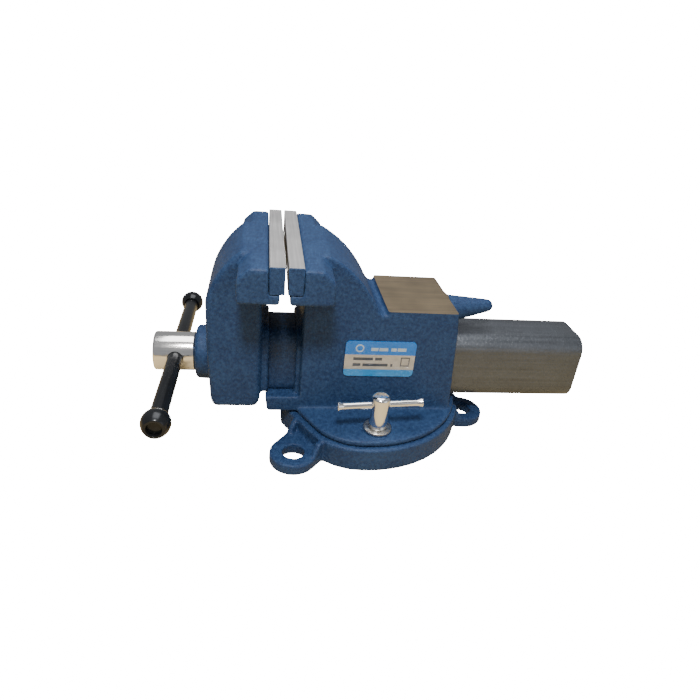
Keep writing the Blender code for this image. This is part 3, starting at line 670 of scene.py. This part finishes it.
def rounded_profile(points, radius, steps=4):
    """A profile with each inner corner cut back and rounded by a quadratic curve."""
    points = [np.array(p, float) for p in points]
    out = [points[0]]
    for before, corner, after in zip(points, points[1:], points[2:]):
        back = before - corner
        forward = after - corner
        reach = min(radius, 0.45 * np.linalg.norm(back), 0.45 * np.linalg.norm(forward))
        a = corner + back / np.linalg.norm(back) * reach
        b = corner + forward / np.linalg.norm(forward) * reach
        for s in np.linspace(0, 1, steps + 1):
            out.append((1 - s) ** 2 * a + 2 * s * (1 - s) * corner + s**2 * b)
    return out + [points[-1]]


def cut_out(piece, cutter):
    """Cut one new piece out of another and remove the cutter."""
    modifier = piece.modifiers.new("cut", "BOOLEAN")
    modifier.operation = "DIFFERENCE"
    modifier.solver = "EXACT"
    modifier.object = cutter
    baked(piece)
    bpy.data.objects.remove(cutter, do_unlink=True)
    return piece


def box_piece(name, low, high):
    """A closed box between two corners, used as a cutter."""
    x, y, z = zip(low, high)
    corners = ((0, 0), (1, 0), (1, 1), (0, 1))
    ring = np.array([[(x[i], y[side], z[k]) for i, k in corners] for side in (0, 1)])
    return surface(name, ring, wrap_u=True, cap_start=True, cap_end=True)


def take_over(piece, body, slot, *nodes):
    """Ride on a body and stand for CAD nodes."""
    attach(piece, body)
    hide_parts(*nodes)
    return piece


def body_with(node):
    bodies = frame["record"]["behaviour"]["bodies"]
    return next(body for body, members in bodies.items() if node in members)


# ---------------------------------------------------------------- castings


def sand_cast(node, name, settings, lift=None):
    """A CAD casting as sand and a mould leave it: edges relaxed and skin slightly bumpy.

    The copy is sampled on cubes, relaxed, and each point p then moves along its normal by
    height * (0.6 * noise(p / 5 mm) + 0.4 * noise(p / 2.6 mm)).
    """
    piece = merged_copy(node, name)
    if lift is not None:
        set_points(piece.data, lift(points_of(piece.data)))
    remesh = piece.modifiers.new("cast", "REMESH")
    remesh.mode = "VOXEL"
    remesh.voxel_size = settings.voxel
    relax = piece.modifiers.new("relax", "SMOOTH")
    relax.factor = 0.5
    relax.iterations = settings.rounding
    baked(piece)
    co = points_of(piece.data)
    normals = np.empty(len(co) * 3)
    piece.data.vertex_normals.foreach_get("vector", normals)
    rough = 0.6 * lattice_noise(co, 5 * MM, 3) + 0.4 * lattice_noise(co, 2.6 * MM, 8)
    co += normals.reshape(-1, 3) * (rough * settings.roughcast)[:, None]
    set_points(piece.data, co)
    return piece


class VISE_OT_swivel_base(bpy.types.Operator):
    """Make the round base with its three lugs"""

    bl_idname = "vise.swivel_base"
    bl_label = "Swivel base"

    def execute(self, context):
        settings = context.scene.vise_casting
        piece = sand_cast("swivel_base", "base_casting", settings)
        co = points_of(piece.data)
        co[:, 2] = np.where(co[:, 2] < 0.8 * MM, np.maximum(co[:, 2], 0), co[:, 2])
        set_points(piece.data, co)
        dress(piece, MATERIALS["paint"], None)
        take_over(piece, "base", "blue_paint", "swivel_base")
        return {"FINISHED"}


class VISE_OT_fixed_body(bpy.types.Operator):
    """Make the fixed jaw's casting, with its machined pad and its horn"""

    bl_idname = "vise.fixed_body"
    bl_label = "Fixed body"

    def execute(self, context):
        settings = context.scene.vise_casting

        def raise_pad(co):
            inside = (co[:, 0] > PAD_FRONT_X - 1 * MM) & (co[:, 0] < PAD_REAR_X)
            pad = inside & (co[:, 2] > PAD_TOP - 2 * MM)
            co[:, 2] += np.where(pad, 3 * MM, 0)
            return co

        piece = sand_cast("fixed_body", "body_casting", settings, raise_pad)
        above = box_piece("above_pad", (5 * MM, -0.06, PAD_TOP), (PAD_REAR_X + 1.5 * MM, 0.06, 0.15))
        cut_out(piece, above)
        dress(piece, MATERIALS["paint"], 50)
        piece.data.materials.append(MATERIALS["pad"])
        centres = np.empty(len(piece.data.polygons) * 3)
        piece.data.polygons.foreach_get("center", centres)
        centres = centres.reshape(-1, 3)
        machined = (np.abs(centres[:, 2] - PAD_TOP) < 0.02 * MM) & (centres[:, 0] > 5 * MM)
        piece.data.polygons.foreach_set("material_index", machined.astype(np.int32))
        piece.data.polygons.foreach_set("use_smooth", ~machined)
        piece.data.update()
        take_over(piece, "vise_body", "blue_paint", "fixed_body")
        return {"FINISHED"}


class VISE_OT_movable_jaw(bpy.types.Operator):
    """Make the movable jaw's casting"""

    bl_idname = "vise.movable_jaw"
    bl_label = "Movable jaw"

    def execute(self, context):
        piece = sand_cast("movable_jaw", "jaw_casting", context.scene.vise_casting)
        dress(piece, MATERIALS["paint"], None)
        take_over(piece, "sliding_jaw", "blue_paint", "movable_jaw")
        return {"FINISHED"}


# ---------------------------------------------------------------- machined pieces


def machined_copy(node, name, look, slot, edge=0.25 * MM):
    """A CAD piece with its edges broken by a small bevel."""
    piece = merged_copy(node, name)
    if edge:
        modifier = piece.modifiers.new("edges", "BEVEL")
        modifier.width = edge
        modifier.segments = 2
        modifier.limit_method = "ANGLE"
        modifier.angle_limit = radians(40)
        modifier.use_clamp_overlap = True
        baked(piece)
    dress(piece, look, 40)
    take_over(piece, body_with(node), slot, node)
    return piece


class VISE_OT_slide_tube(bpy.types.Operator):
    """Make the square slide tube"""

    bl_idname = "vise.slide_tube"
    bl_label = "Slide tube"

    def execute(self, context):
        machined_copy("slide_tube", "square_tube", MATERIALS["tube"], "rolled_steel", 0.5 * MM)
        return {"FINISHED"}


class VISE_OT_jaw_plates(bpy.types.Operator):
    """Make both jaw plates and their screws"""

    bl_idname = "vise.jaw_plates"
    bl_label = "Jaw plates"

    def execute(self, context):
        for jaw in ("fixed", "movable"):
            plate = machined_copy(f"{jaw}_jaw_plate", f"{jaw}_plate", MATERIALS["plate"], "ground_steel", 0)
            plate.data.materials.append(MATERIALS["painted end"])
            plate.data.materials.append(MATERIALS["grip"])
            for face in plate.data.polygons:
                if abs(face.center.y) > HALF_JAW - 1 * MM:
                    face.material_index = 1
                elif abs(face.normal.x) > 0.9:
                    face.material_index = 2
            for end in ("near", "far"):
                node = f"{jaw}_plate_screw_{end}"
                machined_copy(node, f"{jaw}_screw_{end}", MATERIALS["black"], "black_steel", 0.15 * MM)
        return {"FINISHED"}


def threaded(profile_start, profile_end, start, stop, radius, depth, centre, axis, sides=40):
    """A turned bar with a trapezoid thread between two places.

    Point (a, t) lies at radius r - depth * w(a / pitch - t / 2 pi), where w is a wave with flat
    tops and flat roots, faded to full depth over one pitch at each end of the thread.
    """
    along, side, up = frame_along(axis)
    steps = int((stop - start) / THREAD_PITCH * 12)
    a = np.linspace(start, stop, steps)
    t = np.linspace(0, 2 * pi, sides, endpoint=False)
    phase = (a[:, None] / THREAD_PITCH - t[None] / (2 * pi)) % 1.0
    wave = np.clip((0.5 - np.abs(phase - 0.5)) * 8 - 1.2, 0, 1)
    fade = np.clip(np.minimum(a - start, stop - a) / THREAD_PITCH, 0, 1)[:, None]
    r = radius - depth * wave * fade
    around = np.cos(t)[:, None] * side + np.sin(t)[:, None] * up
    middle = np.array(centre) + a[:, None, None] * along + r[..., None] * around[None]
    ends = []
    for part in (profile_start, profile_end):
        part = np.array(part, float)
        ring = part[:, 1][:, None, None] * around[None]
        ends.append(np.array(centre) + part[:, 0][:, None, None] * along + ring)
    return np.concatenate([ends[0], middle, ends[1]])


class VISE_OT_lead_screw(bpy.types.Operator):
    """Make the lead screw with its bored head and its thread"""

    bl_idname = "vise.lead_screw"
    bl_label = "Lead screw"

    def execute(self, context):
        low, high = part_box("lead_screw")
        head = (high.z - low.z) / 2
        corners = [(low.x, 0.0), (low.x, head), (SHOULDER_X, head)]
        corners += [(SHOULDER_X, NECK_RADIUS), (NECK_END_X, NECK_RADIUS)]
        front = rounded_profile(corners, HEAD_ROUNDING, 5)
        tip = [(high.x - 2.5 * MM, 10.5 * MM), (high.x, 8.5 * MM), (high.x, 0.0)]
        thread = (THREAD_START_X, high.x - 3 * MM)
        centre = (0, 0, SPINDLE_Z)
        grid = threaded(front, tip, *thread, THREAD_RADIUS, THREAD_DEPTH, centre, (1, 0, 0))
        piece = surface("spindle", grid, wrap_u=True)
        bar_axis = (0, cos(HANDLE_TILT), -sin(HANDLE_TILT))
        across = [(-30 * MM, HANDLE_BORE), (30 * MM, HANDLE_BORE)]
        bore = turned("bore", across, (HANDLE_X, 0, SPINDLE_Z), bar_axis, 48)
        cut_out(piece, bore)
        dress(piece, MATERIALS["chrome"], 40)
        take_over(piece, "screw", "bright_chrome", "lead_screw")
        machined_copy("retaining_collar", "collar", MATERIALS["dark"], "dark_steel")
        machined_copy("collar_pin", "pin", MATERIALS["dark"], "dark_steel", 0.3 * MM)
        machined_copy("thrust_washer", "washer", MATERIALS["zinc"], "zinc_plate")
        return {"FINISHED"}


class VISE_OT_nut(bpy.types.Operator):
    """Make the nut, its bolts and the return spring"""

    bl_idname = "vise.nut"
    bl_label = "Nut and spring"

    def execute(self, context):
        machined_copy("spindle_nut", "nut", MATERIALS["bronze"], "bronze", 0.4 * MM)
        for end in ("front", "rear"):
            machined_copy(f"nut_bolt_{end}", f"foot_bolt_{end}", MATERIALS["dark"], "dark_steel")
        low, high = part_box("return_spring")
        radius = (high.z - low.z) / 2 - 1.4 * MM
        inset = SPRING_WIRE + 0.1 * MM
        s = np.linspace(0, 1, SPRING_TURNS * 40 + 1)
        angle = 2 * pi * SPRING_TURNS * s
        x = low.x + inset + (high.x - low.x - 2 * inset) * s
        centre = np.stack([x, radius * np.cos(angle), SPINDLE_Z + radius * np.sin(angle)], 1)
        t = np.linspace(0, 2 * pi, 14, endpoint=False)
        outward = np.stack([np.zeros_like(s), np.cos(angle), np.sin(angle)], 1)
        lengthways = np.array([1.0, 0, 0])
        ring = np.cos(t)[None, :, None] * outward[:, None] + np.sin(t)[None, :, None] * lengthways
        grid = centre[:, None] + SPRING_WIRE * ring
        piece = surface("coil_spring", grid, wrap_u=True, cap_start=True, cap_end=True)
        dress(piece, MATERIALS["dark"], 60)
        take_over(piece, "sliding_jaw", "dark_steel", "return_spring")
        return {"FINISHED"}


class VISE_OT_handle(bpy.types.Operator):
    """Make the sliding bar and its two knobs"""

    bl_idname = "vise.handle"
    bl_label = "Handle"

    def execute(self, context):
        axis = np.array([0, cos(HANDLE_TILT), -sin(HANDLE_TILT)])
        centre = np.array([HANDLE_X, 0, SPINDLE_Z])
        outline = [(-HANDLE_HALF, 0), (-HANDLE_HALF, HANDLE_RADIUS)]
        outline += [(HANDLE_HALF, HANDLE_RADIUS), (HANDLE_HALF, 0)]
        bar = turned("bar", rounded_profile(outline, 0.9 * MM), centre, axis)
        dress(bar, MATERIALS["bar"], 40)
        take_over(bar, "handle", "black_steel", "handle_bar")
        s = np.linspace(-1, 1, 17)
        belly = list(zip(s * KNOB_HALF, KNOB_RADIUS - KNOB_TAPER * s**2))
        lip_x = KNOB_HALF - 3 * MM
        inside = [(KNOB_HALF, 5.6 * MM), (lip_x, 5.6 * MM), (lip_x, 6.8 * MM), (-KNOB_HALF, 6.8 * MM)]
        for end, side in (("near", -1), ("far", 1)):
            middle = centre + side * KNOB_CENTRE * axis
            knob = turned("knob_" + end, belly + inside, middle, side * axis, 64, True)
            modifier = knob.modifiers.new("edges", "BEVEL")
            modifier.width = 0.7 * MM
            modifier.segments = 3
            modifier.limit_method = "ANGLE"
            modifier.angle_limit = radians(40)
            baked(knob)
            dress(knob, MATERIALS["black"], 40)
            take_over(knob, "handle", "black_steel", "handle_knob_" + end)
        return {"FINISHED"}


# ---------------------------------------------------------------- swivel locks


class VISE_OT_swivel_locks(bpy.types.Operator):
    """Make the two lock screws with their cross bars, washers and nuts"""

    bl_idname = "vise.swivel_locks"
    bl_label = "Swivel locks"

    def execute(self, context):
        for end in ("near", "far"):
            turn = joint_of(end + "_lock_turn")
            slide = joint_of(end + "_lock_bar_slide")
            x, y, z = turn["pos_m"]
            low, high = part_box("lock_screw_" + end)
            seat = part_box("lock_washer_" + end)[1].z + 0.3 * MM
            shank = [(low.z, 0), (low.z, STUD_SHANK), (seat, STUD_SHANK + 0.3 * MM)]
            shoulder = high.z - 2.2 * MM
            dome = [(high.z - 0.3 * MM, 5.6 * MM), (high.z, 0)]
            boss = [(seat, STUD_RADIUS), (shoulder, STUD_RADIUS)]
            outline = rounded_profile([*shank, *boss, *dome], 1.2 * MM)
            screw = turned("lock_stud_" + end, outline, (x, y, 0), (0, 0, 1), 64)
            across = [(-20 * MM, LOCK_BAR_BORE), (20 * MM, LOCK_BAR_BORE)]
            cut_out(screw, turned("hole", across, (x, y, z), slide["axis"], 32))
            dress(screw, MATERIALS["chrome"], 40)
            take_over(screw, end + "_lock_screw", "bright_chrome", "lock_screw_" + end)
            half = LOCK_BAR_HALF
            neck = LOCK_BAR_RADIUS + 0.6 * MM
            side = [(half - 4.8 * MM, LOCK_BAR_RADIUS), (half - 2.4 * MM, neck)]
            side += [(half - 0.5 * MM, LOCK_BAR_FLARE), (half, neck), (half, 0)]
            outline = rounded_profile([(-a, r) for a, r in reversed(side)] + side, 0.8 * MM)
            bar = turned("cross_bar_" + end, outline, (x, y, z), slide["axis"], 40)
            dress(bar, MATERIALS["chrome"], 50)
            take_over(bar, end + "_lock_bar", "bright_chrome", "lock_bar_" + end)
            washer = "lock_washer_" + end
            machined_copy(washer, "lock_ring_" + end, MATERIALS["zinc"], "zinc_plate", 0.5 * MM)
            nut = "tee_nut_" + end
            machined_copy(nut, "slot_nut_" + end, MATERIALS["dark"], "dark_steel", 0.4 * MM)
        return {"FINISHED"}


# ---------------------------------------------------------------- label


def label_material(settings):
    """Colour bands, a ring, a square and rows of plain bars, by place on the label."""
    made, graph, shader = new_material(
        "printed label", Roughness=0.32, Coat_Weight=0.4, Coat_Roughness=0.12
    )
    low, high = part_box("side_label")
    width, height = high.x - low.x, high.z - low.z
    shift = (-low.x / width, 0, -low.z / height)
    place = graph.place(location=shift, scale=(1 / width, 1, 1 / height))
    parts = graph.node("ShaderNodeSeparateXYZ")
    graph.put(parts.inputs[0], place)
    u, v = parts.outputs["X"], parts.outputs["Z"]

    def within(value, a, b):
        over = graph.math("GREATER_THAN", value, a)
        return graph.math("MULTIPLY", over, graph.math("LESS_THAN", value, b))

    def patch(a, b, c, d):
        return graph.math("MULTIPLY", within(u, a, b), within(v, c, d))

    cloud = graph.noise(place, 6.0, 3.0)
    shade = graph.spread(cloud, 0.3, 0.7, 0.9, 1.1)
    color = graph.mix(within(v, 0.0, 0.62), tuple(settings.band), tuple(settings.ground))
    color = graph.mix(within(v, 0.0, 0.2), color, tuple(settings.foot))
    for a, b in ((0.36, 0.46), (0.475, 0.60), (0.645, 0.72), (0.735, 0.86)):
        color = graph.mix(patch(a, b, 0.73, 0.82), color, PAPER_GREY)
    spot_u = graph.math("MULTIPLY", graph.math("SUBTRACT", u, 0.2), width / height)
    spot_v = graph.math("SUBTRACT", v, 0.8)
    squares = [graph.math("MULTIPLY", across, across) for across in (spot_u, spot_v)]
    away = graph.math("SQRT", graph.math("ADD", *squares))
    color = graph.mix(within(away, 0.075, 0.11), color, PAPER_GREY)
    rows = {0.5: ((0.12, 0.40), (0.43, 0.53)), 0.33: ((0.12, 0.23), (0.26, 0.62), (0.66, 0.69))}
    for row, bars in rows.items():
        for ends in bars:
            color = graph.mix(patch(*ends, row - 0.04, row + 0.04), color, INK)
    color = graph.mix(patch(0.80, 0.93, 0.3, 0.56), color, INK)
    color = graph.mix(patch(0.815, 0.915, 0.33, 0.53), color, tuple(settings.ground))
    tinted = graph.node("ShaderNodeVectorMath", operation="SCALE")
    graph.put(tinted.inputs[0], color)
    graph.put(tinted.inputs["Scale"], shade)
    graph.put(shader["Base Color"], tinted.outputs[0])
    graph.put(shader["Normal"], bump(graph, graph.noise(place, 30.0, 2.0), 0.0001, 0.3))
    return made


class VISE_OT_label(bpy.types.Operator):
    """Give the side label its plain colour bands"""

    bl_idname = "vise.label"
    bl_label = "Label"

    def execute(self, context):
        node = frame["nodes"]["side_label"]
        node.data.materials.clear()
        node.data.materials.append(label_material(context.scene.vise_label))
        return {"FINISHED"}


# ---------------------------------------------------------------- stage


MATERIALS = {}


class VISE_OT_materials(bpy.types.Operator):
    """Make the paint and the metals"""

    bl_idname = "vise.materials"
    bl_label = "Materials"

    def execute(self, context):
        metal = context.scene.vise_metal
        casting = context.scene.vise_casting
        ground = tuple(metal.ground)
        black = tuple(metal.black)
        MATERIALS["paint"] = enamel("blue enamel", casting)
        MATERIALS["painted end"] = enamel("blue enamel on steel", casting, False)
        MATERIALS["plate"] = steel("ground plate", ground, 700, 0.2, 0.42, 0.05 * MM, ALONG_Y, 0.55)
        MATERIALS["grip"] = grip_material(ground)
        MATERIALS["pad"] = steel(
            "ground pad", tuple(metal.pad), 700, 0.25, 0.36, 0.05 * MM, metallic=0.85
        )
        MATERIALS["tube"] = painted_tube(metal, casting)
        MATERIALS["chrome"] = steel("plating", tuple(metal.chrome), 700, 0.04, 0.14, 0.01 * MM)
        MATERIALS["zinc"] = steel("zinc", (0.6, 0.59, 0.56), 500, 0.1, 0.3, 0.02 * MM)
        MATERIALS["dark"] = steel("plain steel", (0.2, 0.2, 0.2), 500, 0.15, 0.42, 0.04 * MM)
        MATERIALS["bronze"] = steel("bronze", (0.45, 0.3, 0.13), 500, 0.15, 0.35, 0.04 * MM)
        MATERIALS["black"] = steel("black oxide", black, 400, 0.3, 0.2, 0.02 * MM, metallic=0.6)
        MATERIALS["bar"] = steel("black bar", black, 400, 0.35, 0.24, 0.02 * MM, ALONG_Y, 0.6)
        return {"FINISHED"}


def area_light(name, place, size, power, color):
    """A square lamp aimed at the vise."""
    light = bpy.data.lights.new(name, "AREA")
    light.shape = "SQUARE"
    light.size = size
    light.energy = power
    light.color = color
    made = bpy.data.objects.new(name, light)
    bpy.context.scene.collection.objects.link(made)
    made.location = place
    aim = Vector(LIGHT_TARGET) - Vector(place)
    made.rotation_euler = aim.to_track_quat("-Z", "Y").to_euler()


class VISE_OT_stage(bpy.types.Operator):
    """Set the floor, the light and the camera"""

    bl_idname = "vise.stage"
    bl_label = "Stage"

    def execute(self, context):
        settings = context.scene.vise_stage
        line = np.linspace(-FLOOR_REACH, FLOOR_REACH, 5)
        x, y = np.meshgrid(line, line)
        floor = surface("floor", np.stack([x, y, np.full_like(x, -FLOOR_DROP)], -1))
        made, graph, shader = new_material("floor paint", Roughness=0.7)
        cloud = graph.spread(graph.noise(graph.place(), 3.0), 0.2, 0.8, 0.99, 1.01)
        tinted = graph.node("ShaderNodeVectorMath", operation="SCALE")
        tinted.inputs[0].default_value = tuple(settings.floor)
        graph.put(tinted.inputs["Scale"], cloud)
        path = graph.node("ShaderNodeLightPath").outputs["Is Camera Ray"]
        seen = graph.math("MULTIPLY", path, settings.glow)
        graph.put(shader["Base Color"], graph.mix(path, tuple(settings.bounce), tinted.outputs[0]))
        graph.put(shader["Emission Color"], tinted.outputs[0])
        graph.put(shader["Emission Strength"], seen)
        floor.data.materials.append(made)

        world = bpy.data.worlds.new("studio")
        context.scene.world = world
        world.use_nodes = True
        graph = Graph(world.node_tree)
        background = world.node_tree.nodes["Background"]
        background.inputs["Color"].default_value = (0.95, 0.97, 1.0, 1)
        seen = graph.node("ShaderNodeLightPath").outputs["Is Camera Ray"]
        strength = graph.spread(seen, 0.0, 1.0, settings.sky, settings.glow)
        graph.put(background.inputs["Strength"], strength)

        area_light("key", (-0.14, -0.52, 0.88), 0.14, 9, (1.0, 0.97, 0.93))
        area_light("top", (0.0, 0.25, 1.3), 0.9, 12, (1.0, 0.99, 0.97))
        area_light("fill", (0.9, -0.9, 0.5), 0.8, 2, (0.95, 0.97, 1.0))

        yaw, pitch, roll = CAMERA_YAW, CAMERA_PITCH, CAMERA_ROLL
        forward = Vector((sin(yaw) * cos(pitch), cos(yaw) * cos(pitch), -sin(pitch)))
        right = Vector((cos(yaw), -sin(yaw), 0))
        up = right.cross(forward)
        camera = bpy.data.cameras.new("camera")
        camera.lens = settings.lens
        camera.sensor_width = 36
        camera.clip_start = 0.01
        made = bpy.data.objects.new("camera", camera)
        context.scene.collection.objects.link(made)
        across = right * cos(roll) + up * sin(roll)
        upward = up * cos(roll) - right * sin(roll)
        turn = Matrix((across, upward, -forward)).transposed().to_4x4()
        made.matrix_world = Matrix.Translation(CAMERA_PLACE) @ turn
        context.scene.camera = made
        return {"FINISHED"}


class VISE_PT_panel(bpy.types.Panel):
    """Lists the vise's steps"""

    bl_label = "Bench Vise"
    bl_idname = "VISE_PT_panel"
    bl_space_type = "VIEW_3D"
    bl_region_type = "UI"
    bl_category = "Bench Vise"

    def draw(self, context):
        for name in GROUPS:
            group = getattr(context.scene, name)
            for key in group.__annotations__:
                self.layout.prop(group, key)
        for step in STEPS:
            self.layout.operator(step.bl_idname)


GROUPS = {
    "vise_casting": CastingSettings,
    "vise_metal": MetalSettings,
    "vise_label": LabelSettings,
    "vise_stage": StageSettings,
}
STEPS = (
    VISE_OT_materials,
    VISE_OT_stage,
    VISE_OT_swivel_base,
    VISE_OT_fixed_body,
    VISE_OT_movable_jaw,
    VISE_OT_slide_tube,
    VISE_OT_jaw_plates,
    VISE_OT_lead_screw,
    VISE_OT_nut,
    VISE_OT_handle,
    VISE_OT_swivel_locks,
    VISE_OT_label,
)


def register():
    for name, group in GROUPS.items():
        bpy.utils.register_class(group)
        setattr(bpy.types.Scene, name, bpy.props.PointerProperty(type=group))
    for step in (*STEPS, VISE_PT_panel):
        bpy.utils.register_class(step)


def unregister():
    for step in (VISE_PT_panel, *reversed(STEPS)):
        bpy.utils.unregister_class(step)
    for name, group in reversed(GROUPS.items()):
        delattr(bpy.types.Scene, name)
        bpy.utils.unregister_class(group)


def main():
    register()
    for step in STEPS:
        section, verb = step.bl_idname.split(".")
        getattr(getattr(bpy.ops, section), verb)()


if __name__ == "__main__":
    main()
